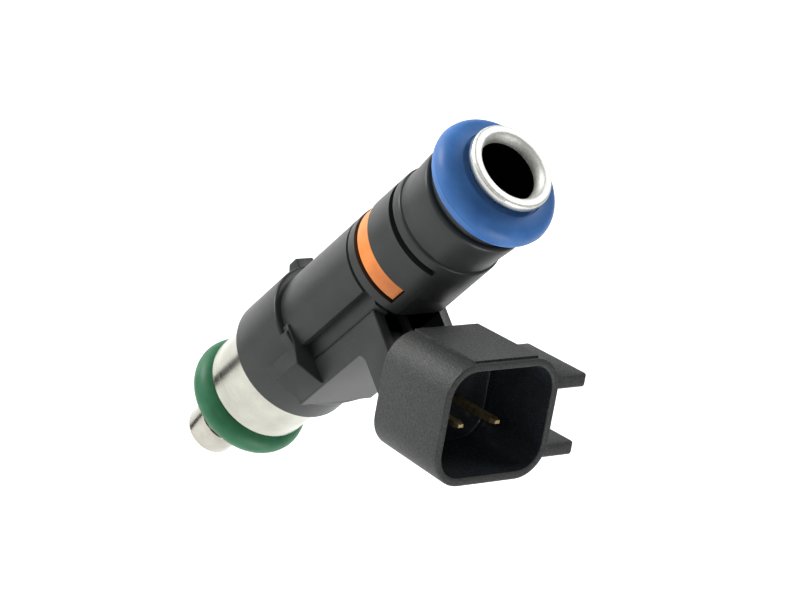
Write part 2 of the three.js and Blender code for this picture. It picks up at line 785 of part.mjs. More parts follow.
// the shell is slightly smaller at its back, most of all underneath
function shroud() {
  const drawn = roundedRectangle(SHROUD_HALF_WIDTH, SHROUD_HALF_HEIGHT, SHROUD_CORNER_R);
  const geometry = new THREE.ExtrudeGeometry(drawn, {
    depth: SHROUD_LENGTH, bevelEnabled: false, curveSegments: 8,
  });
  const points = geometry.attributes.position;
  const [sideTaper, underTaper, topTaper] = [0.03, 0.07, 0.01];
  for (let i = 0; i < points.count; i++) {
    const back = 1 - points.getZ(i) / SHROUD_LENGTH;
    const under = points.getY(i) < 0 ? underTaper : topTaper;
    points.setX(i, points.getX(i) * (1 - sideTaper * back));
    points.setY(i, points.getY(i) * (1 - under * back));
  }
  let shell = acrossConnectorFrom(geometry, SHROUD_LENGTH);

  const [padHalf, padRise, padRoot] = [4.3, 0.2, 5];
  const [padSlant, padSetback] = [0.1, 0.4];
  const padTop = SHROUD_HALF_HEIGHT + padRise;
  const pad = shapeOf([
    [-padHalf - padSlant, padRoot], [padHalf + padSlant, padRoot],
    [padHalf - padSlant, padTop], [-padHalf + padSlant, padTop],
  ]);
  shell = shell.add(acrossConnector(pad, SHROUD_LENGTH - padSetback, padSetback));

  // two locking rails, on one side only
  const [railRoot, railTip, railLength] = [6, 11.45, 9.5];
  const railChamfer = 0.15;
  const railHeights = [[2.95, 4.5], [-4.65, -3.1]];
  for (const [under, over] of railHeights) {
    const rail = shapeOf([
      [railRoot, under], [railTip - railChamfer, under], [railTip, under + railChamfer],
      [railTip, over], [railRoot, over],
    ]);
    shell = shell.add(acrossConnector(rail, railLength, 0));
  }
  return shell;
}

function socket() {
  const inner = roundedRectangle(
    SHROUD_HALF_WIDTH - SHROUD_WALL,
    SHROUD_HALF_HEIGHT - SHROUD_WALL,
    SHROUD_CORNER_R - SHROUD_WALL,
  );
  return acrossConnector(inner, SOCKET_DEPTH, -1);
}

function bodyMoulding() {
  let body = turnedBody().add(shoulder()).add(skirtLug());

  // grooves for the rail clip and for the identification ring; both stop short of the arm
  const outside = 8;
  const [clipHalfOpening, ringHalfOpening] = [34, 40];
  body = body.subtract(openRing(CLIP_GROOVE_R, outside, CLIP_BASE, CLIP_TOP, clipHalfOpening));
  body = body.subtract(openRing(RING_GROOVE_R, outside, RING_BASE, RING_TOP, ringHalfOpening));

  // flat under the upper collar; below it the body is cut back to the arm's side walls
  const clearX = 9;
  const cutHalf = 2;
  const cutTop = LINE_Z - 0.1;
  body = body.subtract(box([FLAT_X, -WALL_Y, ARM_FLOOR], [clearX, WALL_Y, RING_TOP]));
  for (const side of [-1, 1]) {
    const beside = side * (WALL_Y + cutHalf);
    const low = [WALL_X, beside - cutHalf, SHOULDER_TOP];
    body = body.subtract(box(low, [clearX, beside + cutHalf, cutTop]));
  }
  const pocketHalf = WALL_Y - WALL_THICKNESS;
  body = body.subtract(box([RECESS_X, -pocketHalf, ARM_FLOOR], [clearX, pocketHalf, LINE_Z]));

  body = body.add(arm()).add(shroud());

  // room for the fuel tube, the magnet housing and the coil
  const boreR = NECK_R + PLAY;
  const ease = 0.05;
  body = body.subtract(turned([
    [0, STEP_LOW + ease],
    [BARREL_R + ease, STEP_LOW - ease],
    [boreR, STEP_HIGH - ease],
    [boreR, MOULDING_TOP + 1],
    [0, MOULDING_TOP + 1],
  ]));
  const magnetTop = WASHER_BASE + WASHER_THICKNESS + PLAY;
  body = body.subtract(rod(BARREL_R + ease, MOULDING_BASE - 1, STEP_LOW + 2 * ease));
  body = body.subtract(rod(HOUSING_R + PLAY, MOULDING_BASE - 1, magnetTop));

  // the socket, and a channel for each terminal
  body = body.subtract(socket());
  const slack = 0.06;
  for (const side of [-1, 1]) {
    const y = (side * PIN_PITCH) / 2;
    const half = PIN_WIDTH / 2 + slack;
    body = body.subtract(slab(terminalOutline(slack, PIN_SETBACK), y - half, y + half));
  }
  return body;
}

// coloured ring clipped round the moulding; it is cut away towards the connector
function identificationRing() {
  const chamfer = 0.45;
  const outerR = 6.4;
  const innerR = RING_GROOVE_R + PLAY;
  const [low, high] = [RING_BASE + PLAY, RING_TOP - PLAY];
  const [insideGroove, outside, halfOpening] = [4, 8, 41.5];
  const ring = turned([
    [innerR, low],
    [outerR - chamfer, low],
    [outerR, low + chamfer],
    [outerR, high],
    [innerR, high],
  ]);
  return ring.intersect(openRing(insideGroove, outside, low - 1, high + 1, halfOpening));
}

addPart('body_moulding', bodyMoulding(), 0x2b2c2c, 0.5, 0);
addPart('identification_ring', identificationRing(), 0xf09448, 0.45, 0);

export default injector;
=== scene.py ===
from math import cos, radians, sin

import bpy
from mathutils import Matrix, Vector


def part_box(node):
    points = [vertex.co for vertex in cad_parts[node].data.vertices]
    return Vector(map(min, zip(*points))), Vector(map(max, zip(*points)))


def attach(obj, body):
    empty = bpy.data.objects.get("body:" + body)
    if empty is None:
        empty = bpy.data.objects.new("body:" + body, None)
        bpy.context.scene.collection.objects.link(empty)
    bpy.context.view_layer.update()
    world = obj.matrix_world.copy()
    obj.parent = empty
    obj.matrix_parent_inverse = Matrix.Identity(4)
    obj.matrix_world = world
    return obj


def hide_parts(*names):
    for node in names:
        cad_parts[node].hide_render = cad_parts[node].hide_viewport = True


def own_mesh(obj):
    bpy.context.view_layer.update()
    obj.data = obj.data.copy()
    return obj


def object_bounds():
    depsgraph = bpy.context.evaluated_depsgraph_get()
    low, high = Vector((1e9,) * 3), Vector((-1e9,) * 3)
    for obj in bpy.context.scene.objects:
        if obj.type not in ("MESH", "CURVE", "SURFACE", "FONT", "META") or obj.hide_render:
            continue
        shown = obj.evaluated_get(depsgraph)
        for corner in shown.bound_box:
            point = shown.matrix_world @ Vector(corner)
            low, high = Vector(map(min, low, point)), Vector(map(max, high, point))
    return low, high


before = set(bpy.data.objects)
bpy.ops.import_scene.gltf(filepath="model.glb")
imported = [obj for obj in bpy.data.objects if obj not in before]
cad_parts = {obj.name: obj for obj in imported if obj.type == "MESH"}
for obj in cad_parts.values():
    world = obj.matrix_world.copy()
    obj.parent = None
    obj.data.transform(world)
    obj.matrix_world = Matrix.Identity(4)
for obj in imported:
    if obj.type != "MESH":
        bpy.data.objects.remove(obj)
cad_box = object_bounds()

# ---------------------------------------------------------------- camera and studio
# A long lens looks down on the inlet end, turned so that the injector lies across the picture.
# The set is a pale floor well below the part, with soft lights on its sides and one black
# card, whose reflection gives the bright steel its dark streak.

MM = 0.001

camera_right = Vector((0.33776, 0.76840, 0.54359))
camera_up = Vector((-0.88294, 0.05857, 0.46582))
camera_back = camera_right.cross(camera_up)
camera_place = Vector((105.946, -200.832, 258.164)) * MM

camera_data = bpy.data.cameras.new("camera")
camera_data.lens = 133.9
camera_data.sensor_width = 36
camera_data.clip_start = 0.01
camera = bpy.data.objects.new("camera", camera_data)
bpy.context.collection.objects.link(camera)
facing = Matrix((camera_right, camera_up, camera_back)).transposed().to_4x4()
camera.matrix_world = Matrix.Translation(camera_place) @ facing
bpy.context.scene.camera = camera

part_middle = Vector((6, 0, 32)) * MM


def soft_light(name, across, upward, towards, size, watts):
    """A square area light, placed from the part's middle along the camera's own directions."""
    away = camera_right * across + camera_up * upward + camera_back * towards
    light_data = bpy.data.lights.new(name, "AREA")
    light_data.size = size
    light_data.energy = watts
    light = bpy.data.objects.new(name, light_data)
    bpy.context.collection.objects.link(light)
    light.location = part_middle + away
    light.rotation_euler = away.to_track_quat("Z", "Y").to_euler()


soft_light("key_light", across=-0.30, upward=0.40, towards=0.05, size=0.20, watts=2.2)
soft_light("front_light", across=-0.10, upward=0.05, towards=0.55, size=0.14, watts=0.25)
soft_light("low_light", across=0.22, upward=-0.42, towards=0.18, size=0.24, watts=1.4)
soft_light("rim_light", across=0.40, upward=0.34, towards=0.00, size=0.20, watts=1.05)

world = bpy.data.worlds.new("white_studio")
world.use_nodes = True
world.node_tree.nodes["Background"].inputs["Color"].default_value = (1, 1, 1, 1)
world.node_tree.nodes["Background"].inputs["Strength"].default_value = 0.2
bpy.context.scene.world = world
bpy.context.scene.view_settings.view_transform = "Standard"


def linear_colour(code):
    """An sRGB hex colour as the linear values that a shader takes."""
    parts = [int(code[i:i + 2], 16) / 255 for i in (1, 3, 5)]
    return [p / 12.92 if p <= 0.04045 else ((p + 0.055) / 1.055) ** 2.4 for p in parts] + [1]


def add_node(material, kind, sockets=None, links=None, stops=None):
    """Adds a node with its socket values, links from (node, output), and ramp stops in order."""
    node = material.node_tree.nodes.new(kind)
    for name, value in (sockets or {}).items():
        node.inputs[name].default_value = value
    for name, (source, output) in (links or {}).items():
        material.node_tree.links.new(source.outputs[output], node.inputs[name])
    if stops:
        for stop, (position, code) in zip(node.color_ramp.elements, stops):
            stop.position = position
            stop.color = linear_colour(code)
    return node


def new_material(name):
    material = bpy.data.materials.new(name)
    material.use_nodes = True
    material.node_tree.nodes.clear()
    return material


# nearly all of a noise's values lie between these two
noise_low, noise_high = 0.3, 0.7

floor_size = 4
floor_drop = 60 * MM
bpy.ops.object.select_all(action="DESELECT")
bpy.ops.mesh.primitive_plane_add(size=floor_size, location=(0, 0, cad_box[0][2] - floor_drop))
floor = bpy.context.object
floor.name = "floor"
paper = new_material("white_paper_matt")
paper_place = add_node(paper, "ShaderNodeTexCoord")
paper_fibre = 2.0 * MM
paper_grain = add_node(
    paper, "ShaderNodeTexNoise",
    {"Scale": 1 / paper_fibre, "Detail": 3.0},
    {"Vector": (paper_place, "Object")},
)
paper_tone = add_node(
    paper, "ShaderNodeValToRGB",
    links={"Fac": (paper_grain, "Fac")},
    stops=[(noise_low, "#FBFBFB"), (noise_high, "#FFFFFF")],
)
paper_shader = add_node(
    paper, "ShaderNodeBsdfPrincipled",
    {"Roughness": 0.9, "Emission Color": (1, 1, 1, 1), "Emission Strength": 0.64},
    {"Base Color": (paper_tone, "Color")},
)
add_node(paper, "ShaderNodeOutputMaterial", links={"Surface": (paper_shader, "BSDF")})
floor.data.materials.append(paper)

# the card stands low beside the nozzle, where the steel band mirrors it towards the lens;
# it is hidden from the lens itself, as a card outside the picture would be
card_place = Vector((-43, -40, -38)) * MM
card_width, card_length = 18 * MM, 90 * MM
band_spot = Vector((-1.3, -6.2, 14)) * MM
bpy.ops.object.select_all(action="DESELECT")
bpy.ops.mesh.primitive_plane_add(size=1, location=card_place)
card = bpy.context.object
card.name = "black_card"
card.scale = (card_width, card_length, 1)
card.rotation_euler = (band_spot - card_place).to_track_quat("Z", "Y").to_euler()
card.visible_camera = False
flock = new_material("black_card_flocked")
flock_place = add_node(flock, "ShaderNodeTexCoord")
flock_tuft = 1.0 * MM
flock_nap = add_node(
    flock, "ShaderNodeTexNoise",
    {"Scale": 1 / flock_tuft, "Detail": 3.0},
    {"Vector": (flock_place, "Object")},
)
flock_tone = add_node(
    flock, "ShaderNodeValToRGB",
    links={"Fac": (flock_nap, "Fac")},
    stops=[(noise_low, "#020202"), (noise_high, "#060606")],
)
flock_shader = add_node(
    flock, "ShaderNodeBsdfPrincipled", {"Roughness": 1.0}, {"Base Color": (flock_tone, "Color")},
)
add_node(flock, "ShaderNodeOutputMaterial", links={"Surface": (flock_shader, "BSDF")})
card.data.materials.append(flock)

# ---------------------------------------------------------------- fuel tube
# One deep-drawn stainless tube runs the length of the injector. At the inlet it is flared
# and rolled into a lip, which holds the upper O-ring; the drawing leaves fine rings.

sleeve_low, sleeve_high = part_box("valve_sleeve")
tube_foot = sleeve_low[2] / MM
tube_rim = sleeve_high[2] / MM
lip_radius = sleeve_high[0] / MM


def arc(centre_r, centre_z, radius, start, end, steps):
    """Outline points along an arc; the angles are in degrees from outward."""
    points = []
    for i in range(steps + 1):
        angle = radians(start + (end - start) * i / steps)
        points.append((centre_r + radius * cos(angle), centre_z + radius * sin(angle)))
    return points


turned_sides = 128


def turned_piece(name, outline, sides=turned_sides):
    """A circle extruded and scaled from one [radius, height] point to the next, back to the first."""
    radius, height = outline[0]
    bpy.ops.object.select_all(action="DESELECT")
    bpy.ops.mesh.primitive_circle_add(vertices=sides, radius=radius * MM, location=(0, 0, height * MM))
    piece = bpy.context.object
    piece.name = name
    bpy.ops.object.transform_apply(location=True, rotation=True, scale=True)
    bpy.ops.object.mode_set(mode="EDIT")
    bpy.ops.mesh.select_all(action="SELECT")
    for next_radius, next_height in list(outline[1:]) + [outline[0]]:
        rise = (0, 0, (next_height - height) * MM)
        bpy.ops.mesh.extrude_edges_move(TRANSFORM_OT_translate={"value": rise})
        growth = next_radius / radius
        bpy.ops.transform.resize(value=(growth, growth, 1), center_override=(0, 0, next_height * MM))
        radius, height = next_radius, next_height
    bpy.ops.mesh.select_all(action="SELECT")
    bpy.ops.mesh.remove_doubles(threshold=1e-7)
    bpy.ops.mesh.normals_make_consistent(inside=False)
    bpy.ops.object.mode_set(mode="OBJECT")
    return piece


def smooth(piece, angle=32):
    """Shades the piece smooth, apart from edges sharper than the angle."""
    bpy.ops.object.select_all(action="DESELECT")
    piece.select_set(True)
    bpy.context.view_layer.objects.active = piece
    bpy.ops.object.shade_smooth_by_angle(angle=radians(angle))


def fit(piece, node, material):
    """The finished piece stands for a CAD node of the fixed body and takes its finish."""
    piece.data.materials.clear()
    piece.data.materials.append(material)
    smooth(piece)
    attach(piece, "injector")
    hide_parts(node)


def drawn_steel(name, dark, light, roughness, ring_mm=0.12):
    """Stainless sheet drawn over a punch: bright, with fine rings left round it by the tool."""
    # the rings are drawn coarser than the tool leaves them, because real ones would not show
    ring_run = 0.04
    ring_height = 0.004 * MM
    stain_size = 2.5 * MM
    material = new_material(name)
    place = add_node(material, "ShaderNodeTexCoord")
    run_round = add_node(
        material, "ShaderNodeMapping", {"Scale": (ring_run, ring_run, 1)}, {"Vector": (place, "Object")},
    )
    rings = add_node(
        material, "ShaderNodeTexNoise",
        {"Scale": 1 / (ring_mm * MM), "Detail": 2.0},
        {"Vector": (run_round, "Vector")},
    )
    stain = add_node(
        material, "ShaderNodeTexNoise",
        {"Scale": 1 / stain_size, "Detail": 3.0},
        {"Vector": (place, "Object")},
    )
    tone = add_node(
        material, "ShaderNodeValToRGB",
        links={"Fac": (stain, "Fac")},
        stops=[(noise_low, dark), (noise_high, light)],
    )
    sheen = add_node(
        material, "ShaderNodeMapRange",
        {"From Min": noise_low, "From Max": noise_high,
         "To Min": roughness - 0.06, "To Max": roughness + 0.08},
        {"Value": (rings, "Fac")},
    )
    bump = add_node(
        material, "ShaderNodeBump", {"Distance": ring_height, "Strength": 1.0}, {"Height": (rings, "Fac")},
    )
    shader = add_node(
        material, "ShaderNodeBsdfPrincipled",
        {"Metallic": 1.0},
        {"Base Color": (tone, "Color"), "Roughness": (sheen, "Result"), "Normal": (bump, "Normal")},
    )
    add_node(material, "ShaderNodeOutputMaterial", links={"Surface": (shader, "BSDF")})
    return material


lip_height = 1.2
lip_edge = 0.35
neck_radius, neck_bore = 3.9, 3.4
barrel_radius, barrel_bore = 2.85, 2.5
widens_low, widens_high = 26.4, 27.8
widens_inside = 0.2
# the funnel inside the lip: its radius at each depth below the rim
funnel = [(3.98, 0), (3.86, 0.06), (3.62, 0.42), (neck_bore + 0.05, 0.95), (neck_bore, 1.3)]
fuel_tube = turned_piece("fuel_tube", [
    (barrel_bore, tube_foot),
    (barrel_radius, tube_foot),
    (barrel_radius, widens_low),
    (neck_radius, widens_high),
    (neck_radius, tube_rim - lip_height),
    *arc(lip_radius - lip_edge, tube_rim - lip_height + lip_edge, lip_edge, -90, 0, 5),
    *arc(lip_radius - lip_edge, tube_rim - lip_edge, lip_edge, 0, 90, 6),
    *[(radius, tube_rim - depth) for radius, depth in funnel],
    (neck_bore, widens_high + widens_inside),
    (barrel_bore, widens_low + widens_inside),
])
bright_tube = drawn_steel("stainless_tube_bright_drawn", "#C2C1BA", "#D8D7D0", 0.27)


def rolled_lip_steel_painted_highlight():
    """The lip's face and funnel: grainy and rough from the rolling tool, with a near-white painted
    highlight for a colour.
    """
    # the grain is drawn coarser than the tool leaves it, because the real one would not show
    grain_size = 0.16 * MM
    grain_height = 0.03 * MM
    material = new_material("stainless_lip_rolled_painted_highlight")
    place = add_node(material, "ShaderNodeTexCoord")
    grain = add_node(
        material, "ShaderNodeTexNoise",
        {"Scale": 1 / grain_size, "Detail": 5.0},
        {"Vector": (place, "Object")},
    )
    # the near-white tone is a painted highlight; only the grain in it is the metal's own
    tone = add_node(
        material, "ShaderNodeValToRGB",
        links={"Fac": (grain, "Fac")},
        stops=[(noise_low, "#E2E2DB"), (noise_high, "#FFFFFC")],
    )
    sheen = add_node(
        material, "ShaderNodeMapRange",
        {"From Min": noise_low, "From Max": noise_high, "To Min": 0.50, "To Max": 0.68},
        {"Value": (grain, "Fac")},
    )
    bump = add_node(
        material, "ShaderNodeBump", {"Distance": grain_height, "Strength": 1.0}, {"Height": (grain, "Fac")},
    )
    shader = add_node(
        material, "ShaderNodeBsdfPrincipled",
        {"Metallic": 1.0},
        {"Base Color": (tone, "Color"), "Roughness": (sheen, "Result"), "Normal": (bump, "Normal")},
    )
    add_node(material, "ShaderNodeOutputMaterial", links={"Surface": (shader, "BSDF")})
    return material


fit(fuel_tube, "valve_sleeve", bright_tube)
fuel_tube.data.materials.append(rolled_lip_steel_painted_highlight())
# the bore's near-black steel is painted shade, deep inside the tube
fuel_tube.data.materials.append(drawn_steel("stainless_bore_painted_shade", "#0E0D0B", "#1D1B17", 0.5))
lip_painted_highlight_finish, bore_painted_shade_finish = 1, 2
rolled_depth = 1.25
# faces near the rim that face up or in towards the axis take the painted highlight
for face in fuel_tube.data.polygons:
    faces_axis = face.normal.xy.dot(face.center.xy) < 0
    faces_up = face.normal.z > 0.6
    if face.center.z > (tube_rim - rolled_depth) * MM and (faces_axis or faces_up):
        face.material_index = lip_painted_highlight_finish
    elif faces_axis and face.center.z > widens_high * MM:
        face.material_index = bore_painted_shade_finish

# ---------------------------------------------------------------- O-rings
# Two fuel-proof rubber rings, blue at the rail and green at the manifold. Each is moulded in
# a split die, which leaves a hair of flash round the widest part.

fitting_gap = 0.02


def moulded_rubber(name, dark, light):
    """Fluorosilicone from a polished die: smooth, soft-edged gloss with a faint bloom."""
    # the skin is drawn coarser than the die leaves it, because the real one would not show
    bloom_size, skin_size = 3.0 * MM, 0.12 * MM
    skin_height = 0.004 * MM
    material = new_material(name)
    place = add_node(material, "ShaderNodeTexCoord")
    bloom = add_node(
        material, "ShaderNodeTexNoise",
        {"Scale": 1 / bloom_size, "Detail": 3.0},
        {"Vector": (place, "Object")},
    )
    skin = add_node(
        material, "ShaderNodeTexNoise",
        {"Scale": 1 / skin_size, "Detail": 3.0},
        {"Vector": (place, "Object")},
    )
    tone = add_node(
        material, "ShaderNodeValToRGB",
        links={"Fac": (bloom, "Fac")},
        stops=[(noise_low, dark), (noise_high, light)],
    )
    sheen = add_node(
        material, "ShaderNodeMapRange",
        {"From Min": noise_low, "From Max": noise_high, "To Min": 0.40, "To Max": 0.52},
        {"Value": (bloom, "Fac")},
    )
    bump = add_node(
        material, "ShaderNodeBump", {"Distance": skin_height, "Strength": 1.0}, {"Height": (skin, "Fac")},
    )
    shader = add_node(
        material, "ShaderNodeBsdfPrincipled",
        {"IOR": 1.42, "Specular IOR Level": 0.35},
        {"Base Color": (tone, "Color"), "Roughness": (sheen, "Result"), "Normal": (bump, "Normal")},
    )
    add_node(material, "ShaderNodeOutputMaterial", links={"Surface": (shader, "BSDF")})
    return material


# the blue ring fills the neck below the lip, and dips where the lip presses on it
seal_low, seal_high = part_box("upper_o_ring")
seal_r, seal_base, seal_top = seal_high[0] / MM, seal_low[2] / MM, seal_high[2] / MM
seal_section = 1.69
seal_centre_r, seal_z = seal_r - seal_section, seal_base + seal_section
seal_foot = 0.3
flash_height = 0.03
flash_spread, crown_end = 3, 68
# the dip: how far outside the lip each point is, and how far below the ring's top
dip = [(0.28, 0.24), (0.12, 0.26), (0.02, 0.6)]
dip_end = 0.65
rail_seal_sides = 160
rail_seal = turned_piece("rail_o_ring", [
    (neck_radius + fitting_gap, seal_base + seal_foot),
    (neck_radius + seal_foot, seal_base),
    *arc(seal_centre_r, seal_z, seal_section - flash_height, -90, -flash_spread, 14),
    (seal_r, seal_z),
    *arc(seal_centre_r, seal_z, seal_section - flash_height, flash_spread, crown_end, 12),
    *[(lip_radius + outside, seal_top - depth) for outside, depth in dip],
    (neck_radius + fitting_gap, seal_top - dip_end),
], rail_seal_sides)
fit(rail_seal, "upper_o_ring", moulded_rubber("blue_rubber_moulded", "#3867A6", "#4478BA"))

# the green ring is round, and its widest circle is drawn out into the line of flash
green_low, green_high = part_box("lower_o_ring")
green_section = (green_high[2] - green_low[2]) / 2
green_flash = 0.025 * MM
green_middle_r = green_high[0] - green_section
bpy.ops.object.select_all(action="DESELECT")
bpy.ops.mesh.primitive_torus_add(
    major_radius=green_middle_r, minor_radius=green_section - green_flash,
    major_segments=160, minor_segments=40, location=(0, 0, (green_low[2] + green_high[2]) / 2),
)
green_ring = bpy.context.object
green_ring.name = "manifold_o_ring"
bpy.ops.object.transform_apply(location=True, rotation=True, scale=True)
widest = green_middle_r + green_section - green_flash
bpy.ops.object.mode_set(mode="EDIT")
bpy.ops.mesh.select_all(action="DESELECT")
bpy.ops.mesh.select_mode(type="VERT")
bpy.ops.object.mode_set(mode="OBJECT")
for vertex in green_ring.data.vertices:
    vertex.select = vertex.co.xy.length > widest - 0.002 * MM
bpy.ops.object.mode_set(mode="EDIT")
flash_growth = (widest + 0.8 * green_flash) / widest
bpy.ops.transform.resize(value=(flash_growth, flash_growth, 1), center_override=(0, 0, 0))
bpy.ops.object.mode_set(mode="OBJECT")
fit(green_ring, "lower_o_ring", moulded_rubber("green_rubber_moulded", "#2A6444", "#387653"))

# ---------------------------------------------------------------- rings beside the seals
# Two small nylon rings hold the seals in place: a flat one on the moulding under the blue
# O-ring, and a flanged one on the barrel below the green one.


def plain_nylon(name, dark, light, roughness):
    """Unfilled nylon from a satin die, with a little tool grain."""
    # the grain is drawn coarser than the die leaves it, because the real one would not show
    cloud_size, grain_size = 1.5 * MM, 0.08 * MM
    grain_height = 0.006 * MM
    material = new_material(name)
    place = add_node(material, "ShaderNodeTexCoord")
    cloud = add_node(
        material, "ShaderNodeTexNoise",
        {"Scale": 1 / cloud_size, "Detail": 3.0},
        {"Vector": (place, "Object")},
    )
    grain = add_node(
        material, "ShaderNodeTexNoise",
        {"Scale": 1 / grain_size, "Detail": 3.0},
        {"Vector": (place, "Object")},
    )
    tone = add_node(
        material, "ShaderNodeValToRGB",
        links={"Fac": (cloud, "Fac")},
        stops=[(noise_low, dark), (noise_high, light)],
    )
    sheen = add_node(
        material, "ShaderNodeMapRange",
        {"From Min": noise_low, "From Max": noise_high,
         "To Min": roughness - 0.06, "To Max": roughness + 0.06},
        {"Value": (grain, "Fac")},
    )
    bump = add_node(
        material, "ShaderNodeBump", {"Distance": grain_height, "Strength": 1.0}, {"Height": (grain, "Fac")},
    )
    shader = add_node(
        material, "ShaderNodeBsdfPrincipled",
        {"IOR": 1.53},
        {"Base Color": (tone, "Color"), "Roughness": (sheen, "Result"), "Normal": (bump, "Normal")},
    )
    add_node(material, "ShaderNodeOutputMaterial", links={"Surface": (shader, "BSDF")})
    return material


backup_low, backup_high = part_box("seal_backup_ring")
backup_r, backup_base, backup_top = backup_high[0] / MM, backup_low[2] / MM, backup_high[2] / MM
backup_edge = 0.15
backup_ring = turned_piece("backup_ring", [
    (neck_radius + fitting_gap, backup_base),
    *arc(backup_r - backup_edge, backup_base + backup_edge, backup_edge, -90, 0, 3),
    *arc(backup_r - backup_edge, backup_top - backup_edge, backup_edge, 0, 90, 3),
    (neck_radius + fitting_gap, backup_top),
])
fit(backup_ring, "seal_backup_ring", plain_nylon("black_nylon_satin", "#1E1F20", "#2A2B2C", 0.45))

retainer_low, retainer_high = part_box("seal_retainer")
flange_r, flange_base, hub_top = retainer_high[0] / MM, retainer_low[2] / MM, retainer_high[2] / MM
flange_top = green_low[2] / MM - 0.1
flange_edge, flange_top_edge = 0.35, 0.12
hub_radius = 3.58
retainer_ring = turned_piece("retainer_ring", [
    (barrel_radius + fitting_gap, flange_base),
    *arc(flange_r - flange_edge, flange_base + flange_edge, flange_edge, -90, 0, 4),
    *arc(flange_r - flange_top_edge, flange_top - flange_top_edge, flange_top_edge, 0, 90, 3),
    (hub_radius, flange_top),
    (hub_radius, hub_top),
    (barrel_radius + fitting_gap, hub_top),
])
fit(retainer_ring, "seal_retainer", plain_nylon("brown_nylon_satin", "#5E5144", "#75675A", 0.5))

# ---------------------------------------------------------------- magnet housing and nozzle cap
# A deep-drawn steel cup round the coil shows as the bright band, and a short steel sleeve is
# pushed over the tip and turned in under the spray plate.

housing_low, housing_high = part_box("magnet_housing")
band_r, band_base, band_top = housing_high[0] / MM, housing_low[2] / MM, housing_high[2] / MM
cup_edge = 0.6
cup_wall, cup_floor = 0.6, 1.2
steel_cup = turned_piece("magnet_cup", [
    (barrel_radius + fitting_gap, band_base),
    *arc(band_r - cup_edge, band_base + cup_edge, cup_edge, -90, 0, 7),
    (band_r, band_top),
    (band_r - cup_wall, band_top),
    (band_r - cup_wall, band_base + cup_floor),
    (barrel_radius + fitting_gap, band_base + cup_floor),
])
fit(steel_cup, "magnet_housing", drawn_steel("steel_cup_deep_drawn", "#B1B1A6", "#C4C4B9", 0.2))

cap_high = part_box("nozzle_cap")[1]
cap_r, cap_top = cap_high[0] / MM, cap_high[2] / MM
cap_mouth, cap_lip = 1.6, 0.4
cap_edge, mouth_edge, cap_top_edge = 0.35, 0.15, 0.12
nozzle_tip = turned_piece("nozzle_tip", [
    *arc(cap_mouth + mouth_edge, mouth_edge, mouth_edge, 180, 270, 3),
    *arc(cap_r - cap_edge, cap_edge, cap_edge, -90, 0, 5),
    *arc(cap_r - cap_top_edge, cap_top - cap_top_edge, cap_top_edge, 0, 90, 3),
    (barrel_radius + fitting_gap, cap_top),
    (barrel_radius + fitting_gap, cap_lip),
    (cap_mouth, cap_lip),
])
fit(nozzle_tip, "nozzle_cap", drawn_steel("steel_cap_bright_drawn", "#A6A398", "#BFBCB2", 0.2))

# ---------------------------------------------------------------- black moulding
# Glass-filled nylon shot round the finished valve in one go: the skirt, the plain body, the
# collars with their grooves, and the arm that carries the connector. The body comes from a
# satin die; the connector from a spark-eroded one, which leaves it pebbled.

# a face, edge or corner this near to a plane, in millimetres, counts as lying in it
near = 0.01
# a cut ends this far out, past all that it takes away
past_all = 9


def block(name, low, high):
    """A cube at its size and place; low and high are opposite corners in millimetres."""
    centre = [(a + b) / 2 * MM for a, b in zip(low, high)]
    size = [(b - a) * MM for a, b in zip(low, high)]
    bpy.ops.object.select_all(action="DESELECT")
    bpy.ops.mesh.primitive_cube_add(size=1, location=centre, scale=size)
    piece = bpy.context.object
    piece.name = name
    bpy.ops.object.transform_apply(location=True, rotation=True, scale=True)
    return piece


def pick(piece, kind, wanted):
    """Goes into edit mode with only the faces, edges or vertices whose middle is wanted selected."""
    bpy.ops.object.mode_set(mode="EDIT")
    bpy.ops.mesh.select_mode(type=kind)
    bpy.ops.mesh.select_all(action="DESELECT")
    bpy.ops.object.mode_set(mode="OBJECT")
    points = piece.data.vertices
    items = {"FACE": piece.data.polygons, "EDGE": piece.data.edges, "VERT": points}[kind]
    for item in items:
        if kind == "VERT":
            middle_point = item.co
        else:
            corners = [points[i].co for i in item.vertices]
            middle_point = sum(corners, Vector()) / len(corners)
        item.select = bool(wanted(middle_point / MM, item))
    bpy.ops.object.mode_set(mode="EDIT")


def spun_piece(name, inner_r, outer_r, low, high, start, end, chamfer=0.0):
    """A flat section beside the axis, spun from one angle to the other and closed at both ends."""
    middle_r = (inner_r + outer_r) / 2 * MM
    place = (middle_r * cos(radians(start)), middle_r * sin(radians(start)), (low + high) / 2 * MM)
    upright = (radians(90), 0, radians(start))
    size = ((outer_r - inner_r) * MM, (high - low) * MM, 1)
    bpy.ops.object.select_all(action="DESELECT")
    bpy.ops.mesh.primitive_plane_add(size=1, location=place, rotation=upright)
    piece = bpy.context.object
    piece.name = name
    # a plane ignores a scale that it is added with, so it is scaled afterwards
    piece.scale = size
    bpy.ops.object.transform_apply(location=True, rotation=True, scale=True)
    if chamfer:
        pick(piece, "VERT", lambda p, v: p.xy.length > outer_r - near and p.z < low + near)
        bpy.ops.mesh.bevel(offset=chamfer * MM, segments=1, affect="VERTICES")
    bpy.ops.object.mode_set(mode="EDIT")
    bpy.ops.mesh.select_all(action="SELECT")
    steps = max(4, int(abs(end - start) / (360 / turned_sides)))
    # with no window, a spin about +Z turns clockwise
    bpy.ops.mesh.spin(steps=steps, angle=radians(start - end), center=(0, 0, 0), axis=(0, 0, 1))
    bpy.ops.mesh.select_all(action="SELECT")
    bpy.ops.mesh.remove_doubles(threshold=1e-7)
    bpy.ops.mesh.fill_holes(sides=0)
    bpy.ops.mesh.select_all(action="SELECT")
    bpy.ops.mesh.normals_make_consistent(inside=False)
    bpy.ops.object.mode_set(mode="OBJECT")
    return piece


